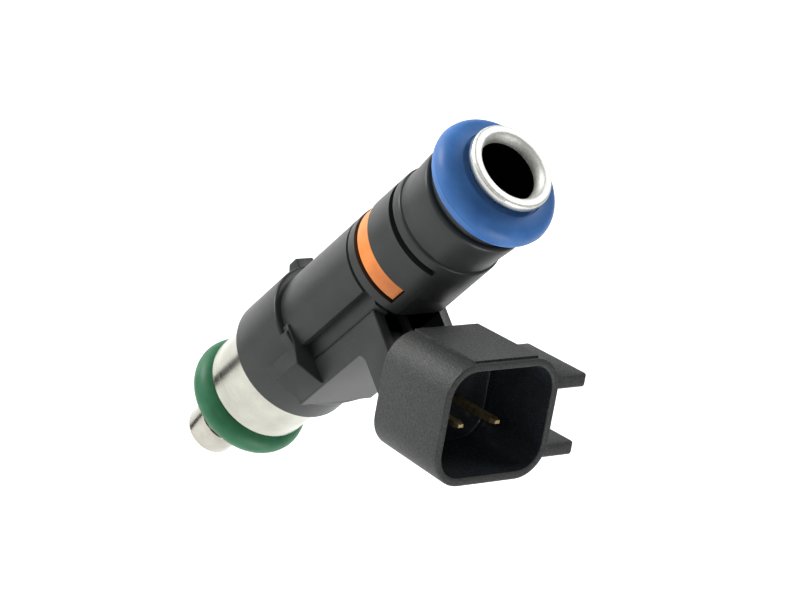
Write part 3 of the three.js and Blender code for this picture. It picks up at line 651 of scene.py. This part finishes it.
def combine(base, tool, operation):
    """Adds, cuts or keeps what is common, and throws the tool away."""
    boolean = base.modifiers.new("combine", "BOOLEAN")
    boolean.operation = operation
    boolean.solver = "EXACT"
    boolean.object = tool
    bpy.ops.object.select_all(action="DESELECT")
    base.select_set(True)
    bpy.context.view_layer.objects.active = base
    bpy.ops.object.modifier_apply(modifier="combine")
    bpy.data.objects.remove(tool, do_unlink=True)


def round_edges(piece, width, angle=35):
    """Rounds every edge that is sharper than the angle."""
    bevel = piece.modifiers.new("round", "BEVEL")
    bevel.width = width * MM
    bevel.segments = 3
    bevel.limit_method = "ANGLE"
    bevel.angle_limit = radians(angle)
    bpy.ops.object.select_all(action="DESELECT")
    piece.select_set(True)
    bpy.context.view_layer.objects.active = piece
    bpy.ops.object.modifier_apply(modifier="round")


# the round part, with the room for the valve and the coil
moulding_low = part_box("body_moulding")[0]
moulding_base, moulding_top = moulding_low[2] / MM, 55
skirt_r, skirt_top = 7.38, 26.6
foot_edge, rim_edge, top_edge = 0.3, 0.35, 0.4
body_r = 6.56
line_z, line_half, line_floor, line_depth = 40, 0.2, 0.1, 0.3
collar_r, collar_edge, collar_top = 6.52, 0.35, 49.75
waist_r, waist_low, waist_high = 6.27, 50.7, 51.4
top_r, top_low = 6.45, 54
bore_r, valve_room = neck_radius + fitting_gap, 0.05
cavity_r, cavity_top = band_r + fitting_gap, 25.74
moulding = turned_piece("moulding", [
    (cavity_r, moulding_base),
    *arc(skirt_r - foot_edge, moulding_base + foot_edge, foot_edge, -90, 0, 4),
    *arc(skirt_r - rim_edge, skirt_top - rim_edge, rim_edge, 0, 90, 4),
    (body_r, skirt_top),
    (body_r, line_z - line_half),
    (body_r - line_depth, line_z - line_floor),
    (body_r - line_depth, line_z + line_floor),
    (body_r, line_z + line_half),
    (collar_r, collar_top),
    *arc(collar_r - collar_edge, collar_top, collar_edge, 0, 70, 3),
    (waist_r, waist_low),
    (waist_r, waist_high),
    (top_r, top_low),
    *arc(top_r - top_edge, moulding_top - top_edge, top_edge, 0, 90, 5),
    (bore_r, moulding_top),
    (bore_r, widens_high - valve_room),
    (barrel_radius + valve_room, widens_low - valve_room),
    (barrel_radius + valve_room, cavity_top),
    (cavity_r, cavity_top),
])

# the square shoulder in front, its corners cut off and its foot drawn in to the skirt
shoulder_low, shoulder_top = 21.6, 27.5
plan = [(7.5, 4.6), (7.25, 5.25), (4.65, 7.45), (2.4, 6.9), (0, 6.9)]
plan = plan + [(x, -y) for x, y in reversed(plan)]
plan_start = Vector((*plan[0], shoulder_low)) * MM
bpy.ops.object.select_all(action="DESELECT")
bpy.ops.mesh.primitive_plane_add(size=1, location=plan_start)
shoulder = bpy.context.object
shoulder.name = "shoulder"
bpy.ops.object.transform_apply(location=True, rotation=True, scale=True)
bpy.ops.object.mode_set(mode="EDIT")
bpy.ops.mesh.select_mode(type="VERT")
bpy.ops.mesh.select_all(action="SELECT")
bpy.ops.mesh.merge(type="CENTER")
for (x, y), (next_x, next_y) in zip(plan, plan[1:] + plan[:1]):
    along = ((next_x - x) * MM, (next_y - y) * MM, 0)
    bpy.ops.mesh.extrude_vertices_move(TRANSFORM_OT_translate={"value": along})
bpy.ops.mesh.select_all(action="SELECT")
bpy.ops.mesh.remove_doubles(threshold=1e-7)
bpy.ops.mesh.edge_face_add()
shoulder_rise = (0, 0, (shoulder_top - shoulder_low) * MM)
bpy.ops.mesh.extrude_region_move(TRANSFORM_OT_translate={"value": shoulder_rise})
bpy.ops.mesh.select_all(action="SELECT")
bpy.ops.mesh.normals_make_consistent(inside=False)
bpy.ops.object.mode_set(mode="OBJECT")
round_edges(shoulder, 0.18)
flare_r, flare_top, flare_core = 9.2, 23.6, 1
flare = turned_piece("flare", [
    (flare_core, shoulder_low),
    (skirt_r, shoulder_low),
    (flare_r, flare_top),
    (flare_r, shoulder_top + 1),
    (flare_core, shoulder_top + 1),
])
combine(shoulder, flare, "INTERSECT")
combine(moulding, shoulder, "UNION")

# a short raised step on each side of the skirt's rim, beside the shoulder
step_inner_r, step_outer_r = 6, skirt_r - 0.02
step_low, step_high = skirt_top - 0.5, shoulder_top - 0.1
step_start, step_end = 68, 84
for side in (1, -1):
    step = spun_piece(
        "rim_step", step_inner_r, step_outer_r, step_low, step_high, step_start * side, step_end * side,
    )
    round_edges(step, 0.12)
    combine(moulding, step, "UNION")

# a small lug on the skirt, opposite the connector, its underside sloping in to the skirt
lug_tip, lug_root = moulding_low[0] / MM, -7
lug_top, lug_height, lug_half, lug_slope = 26, 1.4, 1.2, 1.15
lug = block("lug", (lug_tip, -lug_half, lug_top - lug_height), (lug_root, lug_half, lug_top))
pick(lug, "VERT", lambda p, v: p.x > lug_root - near and p.z < lug_top - near)
bpy.ops.transform.translate(value=(0, 0, -lug_slope * MM))
bpy.ops.object.mode_set(mode="OBJECT")
round_edges(lug, 0.12)
combine(moulding, lug, "UNION")

# grooves for the rail clip and the coloured ring; both stop short of the connector
groove_outer_r = 8
clip_floor_r, clip_low, clip_high, clip_end = 5.4, 48.0, 48.8, 34
clip_groove = spun_piece(
    "clip_groove", clip_floor_r, groove_outer_r, clip_low, clip_high, clip_end, 360 - clip_end,
)
combine(moulding, clip_groove, "DIFFERENCE")
ring_low, ring_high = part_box("identification_ring")
groove_floor_r, groove_end = 5.3, 40
groove_low, groove_high = ring_low[2] / MM - fitting_gap, ring_high[2] / MM + fitting_gap
ring_groove = spun_piece(
    "ring_groove", groove_floor_r, groove_outer_r, groove_low, groove_high, groove_end, 360 - groove_end,
)
combine(moulding, ring_groove, "DIFFERENCE")

# the flat under the top collar, the cut-back sides and the pocket's back
flat_x, recess_x = 5.83, 4.6
wall_x, wall_y, wall_thickness = 2.67, 5.0, 1.2
pocket_y = wall_y - wall_thickness
arm_top, arm_floor, arm_underside = 39.1, 37.2, 35.1
flat = block("flat", (flat_x, -wall_y, arm_floor), (past_all, wall_y, groove_high))
combine(moulding, flat, "DIFFERENCE")
for side in (1, -1):
    side_low, side_high = sorted((side * wall_y, side * past_all))
    cut = block("side", (wall_x, side_low, shoulder_top), (past_all, side_high, line_z - line_floor))
    combine(moulding, cut, "DIFFERENCE")
recess = block("recess", (recess_x, -pocket_y, arm_floor), (past_all, pocket_y, line_z))
combine(moulding, recess, "DIFFERENCE")

# connector directions: across the terminals, up its face, and out of its mouth
tilt = radians(42.9)
outward = Vector((cos(tilt), 0, sin(tilt)))
upward = Vector((-sin(tilt), 0, cos(tilt)))
mouth = Vector((21.2, 0, 45.35))
shell_length, socket_depth = 10.6, 9.6
half_width, half_height, corner_r, shell_wall = 7.68, 6.68, 3.8, 0.85
connector_place = Matrix((Vector((0, 1, 0)), upward, outward)).transposed().to_4x4()
connector_place = Matrix.Translation(mouth * MM) @ connector_place

# the arm: a column grown upwards and then out to the connector, with its pocket and rib
arm_foot, front_x = 22.5, 7.55
root_overlap = 0.1
arm_bite, arm_drop, arm_lean, arm_bend = 0.4, 4, 3.6, 1.2
arm = block("arm", (recess_x - root_overlap, -wall_y, arm_foot), (front_x, wall_y, arm_underside))
pick(arm, "FACE", lambda p, f: p.z > arm_underside - near)
arm_rise = (0, 0, (arm_top - arm_underside) * MM)
bpy.ops.mesh.extrude_region_move(TRANSFORM_OT_translate={"value": arm_rise})
pick(arm, "FACE", lambda p, f: p.x > front_x - near and p.z > arm_underside)
reach = (mouth - outward * (shell_length - arm_bite) - upward * arm_drop).x
bpy.ops.mesh.extrude_region_move(TRANSFORM_OT_translate={"value": ((reach - front_x) * MM, 0, 0)})
pick(arm, "VERT", lambda p, v: p.x > reach - near and p.z > arm_top - near)
bpy.ops.transform.translate(value=(-arm_lean * MM, 0, 0))
pick(arm, "EDGE", lambda p, e: abs(p.x - front_x) < near and abs(p.z - arm_underside) < near)
bpy.ops.mesh.bevel(offset=arm_bend * MM, segments=6, affect="EDGES")
bpy.ops.object.mode_set(mode="OBJECT")
round_edges(arm, 0.2, 60)
pocket_end = 20
pocket = block("pocket", (recess_x - 1, -pocket_y, arm_floor), (pocket_end, pocket_y, arm_top + 1))
combine(arm, pocket, "DIFFERENCE")
rib_half, rib_root, rib_rise, rib_end = 0.35, 0.3, 0.8, 12
rib = block(
    "rib", (recess_x - root_overlap, -rib_half, arm_floor - rib_root),
    (rib_end, rib_half, arm_floor + rib_rise),
)
round_edges(rib, 0.12)
combine(arm, rib, "UNION")

# the shell, drawn with its mouth at z = 0: rounded, drawn in at the back, and hollowed
back_width, back_height, back_lift = 0.97, 0.96, 0.03
shell = block("shell", (-half_width, -half_height, -shell_length), (half_width, half_height, 0))
pick(shell, "EDGE", lambda p, e: abs(p.z + shell_length / 2) < near)
bpy.ops.mesh.bevel(offset=corner_r * MM, segments=12, affect="EDGES")
pick(shell, "FACE", lambda p, f: p.z < -shell_length + near)
bpy.ops.transform.resize(value=(back_width, back_height, 1), center_override=(0, 0, 0))
bpy.ops.transform.translate(value=(0, back_lift * half_height * MM, 0))
pick(shell, "FACE", lambda p, f: p.z > -near)
bpy.ops.mesh.inset(thickness=shell_wall * MM, depth=0)
pick(shell, "FACE", lambda p, f: p.z > -near and len(f.vertices) > 4)
bpy.ops.mesh.extrude_region_move(TRANSFORM_OT_translate={"value": (0, 0, -socket_depth * MM)})
# the floor stands up a little in the middle, where the plug's seal ends
floor_inset, floor_rise = 2.1, 0.3
bpy.ops.mesh.inset(thickness=floor_inset * MM, depth=0)
bpy.ops.mesh.extrude_region_move(TRANSFORM_OT_translate={"value": (0, 0, floor_rise * MM)})
bpy.ops.object.mode_set(mode="OBJECT")
round_edges(shell, 0.2, 50)

# a low pad on top of the shell, kept out of the socket
pad_half, pad_root, pad_rise, pad_inset = 4.3, 5, 0.2, 0.4
pad = block(
    "pad", (-pad_half, pad_root, -shell_length + pad_inset), (pad_half, half_height + pad_rise, -pad_inset),
)
combine(pad, block("socket", (-7, 0, -9), (7, half_height - shell_wall, 1)), "DIFFERENCE")
combine(shell, pad, "UNION")

# two locking rails on the far side only
rail_root, rail_tip, rail_length = 7.2, 11.45, 9.5
for under, over in ((2.95, 4.5), (-4.65, -3.1)):
    rail = block("rail", (rail_root, under, -rail_length), (rail_tip, over, 0))
    round_edges(rail, 0.3)
    combine(shell, rail, "UNION")

# the finished shell is turned and moved to the connector's place
shell.matrix_world = connector_place
bpy.ops.object.select_all(action="DESELECT")
shell.select_set(True)
bpy.context.view_layer.objects.active = shell
bpy.ops.object.transform_apply(location=True, rotation=True, scale=True)

combine(moulding, arm, "UNION")
combine(moulding, shell, "UNION")


def glass_filled_nylon(name, dark, light, roughness, gloss, mottle_mm, grain_mm, grain_height):
    """Black nylon with glass in it: never quite even, its gloss set by the die it left."""
    # each grain is drawn coarser than its die leaves it, because the real one would not show
    material = new_material(name)
    place = add_node(material, "ShaderNodeTexCoord")
    mottle = add_node(
        material, "ShaderNodeTexNoise",
        {"Scale": 1 / (mottle_mm * MM), "Detail": 3.0},
        {"Vector": (place, "Object")},
    )
    grain = add_node(
        material, "ShaderNodeTexNoise",
        {"Scale": 1 / (grain_mm * MM), "Detail": 4.0},
        {"Vector": (place, "Object")},
    )
    tone = add_node(
        material, "ShaderNodeValToRGB",
        links={"Fac": (mottle, "Fac")},
        stops=[(noise_low, dark), (noise_high, light)],
    )
    sheen = add_node(
        material, "ShaderNodeMapRange",
        {"From Min": noise_low, "From Max": noise_high,
         "To Min": roughness - 0.08, "To Max": roughness + 0.08},
        {"Value": (grain, "Fac")},
    )
    bump = add_node(
        material, "ShaderNodeBump",
        {"Distance": grain_height * MM, "Strength": 1.0},
        {"Height": (grain, "Fac")},
    )
    shader = add_node(
        material, "ShaderNodeBsdfPrincipled",
        {"IOR": 1.53, "Specular IOR Level": gloss},
        {"Base Color": (tone, "Color"), "Roughness": (sheen, "Result"), "Normal": (bump, "Normal")},
    )
    add_node(material, "ShaderNodeOutputMaterial", links={"Surface": (shader, "BSDF")})
    return material


fit(moulding, "body_moulding", glass_filled_nylon(
    "black_nylon_satin_die", "#252826", "#2F3230", roughness=0.42, gloss=0.32,
    mottle_mm=4.0, grain_mm=0.09, grain_height=0.006,
))
moulding.data.materials.append(glass_filled_nylon(
    "black_nylon_spark_eroded", "#1F2120", "#393B3A", roughness=0.54, gloss=0.4,
    mottle_mm=0.22, grain_mm=0.2, grain_height=0.08,
))
moulding.data.materials.append(glass_filled_nylon(
    "black_nylon_polished_die", "#22262A", "#2D3237", roughness=0.2, gloss=1.0,
    mottle_mm=0.5, grain_mm=0.15, grain_height=0.004,
))
spark_finish, polished_finish = 1, 2
# the connector's finish starts beyond the body, and the socket's just inside the mouth
connector_x, mouth_edge_depth = 8.2, 0.3
inner_x, inner_y = half_width - shell_wall + 0.05, half_height - shell_wall + 0.05
to_connector = connector_place.inverted()
for face in moulding.data.polygons:
    spot = to_connector @ face.center / MM
    facing = to_connector.to_3x3() @ face.normal
    in_shell = -shell_length - 0.1 < spot.z and abs(spot.y) < half_height + 1
    in_depth = -socket_depth - 0.1 < spot.z < -mouth_edge_depth
    in_hollow = abs(spot.x) < inner_x and abs(spot.y) < inner_y and in_depth
    faces_hollow = facing.z > 0.5 or facing.xy.dot(spot.xy) < 0
    if in_shell and face.center.x > connector_x * MM:
        face.material_index = polished_finish if in_hollow and faces_hollow else spark_finish

# ---------------------------------------------------------------- coloured ring
# An open ring of orange nylon clipped into its groove, which tells one flow rate from
# another. It stops short of the connector, and its lower edge is chamfered.

ring_inner_r, ring_outer_r = groove_floor_r + fitting_gap, ring_high[1] / MM
ring_end, ring_chamfer = 41.5, 0.4
clip_ring = spun_piece(
    "coloured_ring", ring_inner_r, ring_outer_r, ring_low[2] / MM, ring_high[2] / MM,
    ring_end, 360 - ring_end, chamfer=ring_chamfer,
)
round_edges(clip_ring, 0.07)
fit(clip_ring, "identification_ring", plain_nylon("orange_nylon_satin", "#E97F2B", "#F1903B", 0.44))

# ---------------------------------------------------------------- terminals
# Two stamped brass blades, tin-plated, whose tapered tips stand in the socket. They are
# moulded into the nylon.


def plated_brass(name, dark, light):
    """Brass under thin tin: warm where the plating is worn, with a fine mottle from the rolls."""
    # the mottle is drawn coarser than the rolls leave it, because the real one would not show
    wear_size, mottle_size = 0.9 * MM, 0.07 * MM
    mottle_height = 0.003 * MM
    material = new_material(name)
    place = add_node(material, "ShaderNodeTexCoord")
    wear = add_node(
        material, "ShaderNodeTexNoise",
        {"Scale": 1 / wear_size, "Detail": 3.0},
        {"Vector": (place, "Object")},
    )
    mottle = add_node(
        material, "ShaderNodeTexNoise",
        {"Scale": 1 / mottle_size, "Detail": 3.0},
        {"Vector": (place, "Object")},
    )
    tone = add_node(
        material, "ShaderNodeValToRGB",
        links={"Fac": (wear, "Fac")},
        stops=[(noise_low, dark), (noise_high, light)],
    )
    sheen = add_node(
        material, "ShaderNodeMapRange",
        {"From Min": noise_low, "From Max": noise_high, "To Min": 0.34, "To Max": 0.52},
        {"Value": (mottle, "Fac")},
    )
    bump = add_node(
        material, "ShaderNodeBump",
        {"Distance": mottle_height, "Strength": 1.0},
        {"Height": (mottle, "Fac")},
    )
    shader = add_node(
        material, "ShaderNodeBsdfPrincipled",
        {"Metallic": 1.0},
        {"Base Color": (tone, "Color"), "Roughness": (sheen, "Result"), "Normal": (bump, "Normal")},
    )
    add_node(material, "ShaderNodeOutputMaterial", links={"Surface": (shader, "BSDF")})
    return material


def refinish(node, material):
    """Gives a CAD piece whose shape is already right its real finish."""
    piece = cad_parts[node]
    if not piece.material_slots:
        piece.data.materials.append(material)
    for material_slot in piece.material_slots:
        material_slot.material = material


tin_plate = plated_brass("brass_tin_plated", "#C8AC74", "#F0DCB0")
refinish("terminal_left", tin_plate)
refinish("terminal_right", tin_plate)

# ---------------------------------------------------------------- inlet filter
# A fine nylon gauze in a moulded nylon cage strains the fuel. A pressed brass collar round
# its top holds it in the inlet.

# the collar's near-black tone is painted shade, down in the inlet's bore
refinish("inlet_filter_collar", plated_brass("brass_pressed_painted_shade", "#2B241A", "#40372A"))
refinish("inlet_filter_cage", plain_nylon("natural_nylon_moulded", "#CFC9B8", "#DED9CB", 0.55))
refinish("inlet_filter_mesh", plain_nylon("nylon_gauze_woven", "#A09A88", "#BAB4A2", 0.7))

# ---------------------------------------------------------------- valve and magnet parts inside
# Turned iron, ground and polished steel and a copper coil: out of sight once assembled, and
# finished as the real ones are.

turned_iron = drawn_steel("soft_iron_turned", "#807F7C", "#A3A29E", 0.36, 0.2)
ground_steel = drawn_steel("steel_ground", "#B2AFA8", "#CFCCC6", 0.26, 0.06)
polished_ball = drawn_steel("bearing_steel_polished", "#D2D2D0", "#E8E8E6", 0.12, 0.3)
for node in ("pole_core", "armature", "magnet_washer"):
    refinish(node, turned_iron)
for node in ("adjusting_tube", "needle_tube", "seat_body", "spray_plate"):
    refinish(node, ground_steel)
refinish("valve_ball", polished_ball)
refinish("coil_bobbin", plain_nylon("grey_nylon_moulded", "#98948A", "#AEAAA0", 0.55))
refinish("coil_winding", plated_brass("copper_wire_enamelled", "#8A3F1E", "#B8623A"))

# ---------------------------------------------------------------- return spring
# Steel wire wound in seven turns between the armature and the adjusting tube. In the injector its upper end
# stays put and it shortens by the needle's lift; here it is wound at one length on the fixed body.

spring_low, spring_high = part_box("return_spring")
wire_r, wire_sides, spring_turns, steps_per_turn = 0.2, 12, 7, 24
coil_r = spring_high[0] / MM - wire_r
bpy.ops.object.select_all(action="DESELECT")
bpy.ops.mesh.primitive_circle_add(
    vertices=wire_sides, radius=wire_r * MM, rotation=(radians(90), 0, 0),
    location=(coil_r * MM, 0, spring_low[2] + wire_r * MM),
)
spring = bpy.context.object
spring.name = "wound_spring"
bpy.ops.object.transform_apply(location=True, rotation=True, scale=True)
winding = spring.modifiers.new("winding", "SCREW")
winding.iterations = spring_turns
winding.screw_offset = (spring_high[2] - spring_low[2] - 2 * wire_r * MM) / spring_turns
winding.steps = steps_per_turn
winding.render_steps = steps_per_turn
bpy.ops.object.modifier_apply(modifier="winding")
bpy.ops.object.mode_set(mode="EDIT")
bpy.ops.mesh.select_all(action="SELECT")
bpy.ops.mesh.remove_doubles(threshold=1e-7)
bpy.ops.mesh.fill_holes(sides=0)
bpy.ops.mesh.select_all(action="SELECT")
bpy.ops.mesh.normals_make_consistent(inside=False)
bpy.ops.object.mode_set(mode="OBJECT")
fit(spring, "return_spring", ground_steel)
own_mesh(spring)
